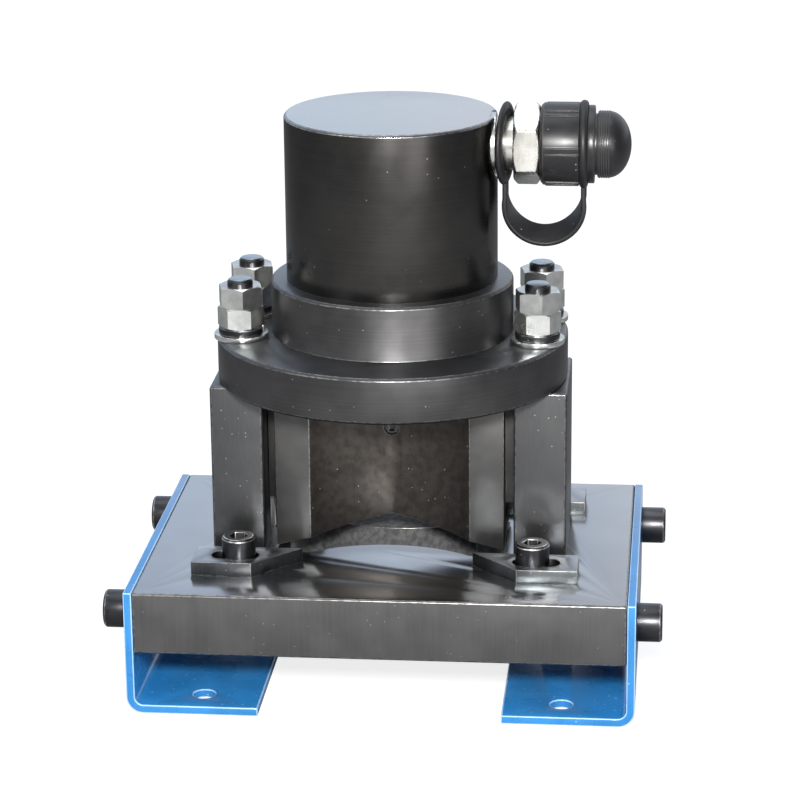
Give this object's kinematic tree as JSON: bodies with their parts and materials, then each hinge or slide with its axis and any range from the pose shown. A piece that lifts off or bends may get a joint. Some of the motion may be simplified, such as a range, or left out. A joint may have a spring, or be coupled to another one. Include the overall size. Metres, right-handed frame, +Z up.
{
  "type": "hydraulic angle iron cutter",
  "caption": "Bench hydraulic corner cutter for angle iron: ram on two columns drives a concave punch through a base plate between adjustable 45 degree fences.",
  "frame": {"origin": "on the floor under the axis of the ram, at the centre of the bottom of the bounding box", "axes": "+Z up along the ram axis; +X to the right, towards the hydraulic coupler; -Y is the front, where the angle iron goes in"},
  "size_m": [0.262, 0.17, 0.277],
  "materials": {
    "ground_black_steel": "ground, darkened",
    "black_oxide": "black oxide, satin",
    "blue_paint": "gloss paint",
    "zinc_plate": "bright zinc plate",
    "punch_steel": "rough, with ground shoulders",
    "fence_steel": "black with sawn edges",
    "bright_steel": "turned and ground",
    "spring_steel": "oiled",
    "bronze": "turned",
    "seal_rubber": "moulded",
    "seal_plastic": "turned plastic",
    "black_plastic": "moulded, fine grain",
    "strap_rubber": "moulded"
  },
  "bodies": {
    "frame": {"base_plate": "ground_black_steel", "left_bracket": "blue_paint", "right_bracket": "blue_paint", "bracket_bolts": "black_oxide", "left_column": "black_oxide", "right_column": "black_oxide", "column_dowels": "bright_steel", "tie_studs": "black_oxide", "flat_washers": "zinc_plate", "spring_washers": "black_oxide", "lower_nuts": "zinc_plate", "upper_nuts": "zinc_plate", "flange": "black_oxide", "barrel": "black_oxide", "rod_bush": "bronze", "rod_wiper": "seal_rubber", "spring_seat": "bright_steel", "return_spring": "spring_steel", "fence_screws": "black_oxide", "bonded_seal": "zinc_plate", "coupler_body": "zinc_plate", "poppet_spring": "spring_steel", "cap_strap": "strap_rubber"},
    "ram": {"piston": "bright_steel", "piston_seal": "seal_rubber", "backup_ring": "seal_plastic", "wear_ring": "seal_plastic", "piston_o_ring": "seal_rubber", "rod": "bright_steel", "punch": "punch_steel", "punch_lock_screw": "black_oxide"},
    "front_left_fence": {"front_left_fence": "fence_steel"},
    "front_right_fence": {"front_right_fence": "fence_steel"},
    "rear_left_fence": {"rear_left_fence": "fence_steel"},
    "rear_right_fence": {"rear_right_fence": "fence_steel"},
    "poppet": {"coupler_poppet": "bright_steel"},
    "cap": {"dust_cap": "black_plastic"}
  },
  "joints": [
    {"name": "ram_slide", "type": "slide", "parent": "frame", "child": "ram", "axis": [0, 0, -1], "range_m": [0, 0.02], "stiffness_N_per_m": 15000, "springref_m": -0.02, "deforming": ["return_spring"]},
    {"name": "front_left_fence_slide", "type": "slide", "parent": "frame", "child": "front_left_fence", "axis": [1, 0, 0], "range_m": [-0.004, 0.0075]},
    {"name": "front_right_fence_slide", "type": "slide", "parent": "frame", "child": "front_right_fence", "axis": [1, 0, 0], "range_m": [-0.0075, 0.004]},
    {"name": "rear_left_fence_slide", "type": "slide", "parent": "frame", "child": "rear_left_fence", "axis": [1, 0, 0], "range_m": [-0.004, 0.0075]},
    {"name": "rear_right_fence_slide", "type": "slide", "parent": "frame", "child": "rear_right_fence", "axis": [1, 0, 0], "range_m": [-0.0075, 0.004]},
    {"name": "poppet_slide", "type": "slide", "parent": "frame", "child": "poppet", "axis": [-1, 0, 0], "range_m": [0, 0.003], "stiffness_N_per_m": 600, "springref_m": -0.004, "deforming": ["poppet_spring"]},
    {"name": "cap_pull", "type": "slide", "parent": "frame", "child": "cap", "axis": [1, 0, 0], "range_m": [0, 0.026], "deforming": ["cap_strap"]}
  ]
}
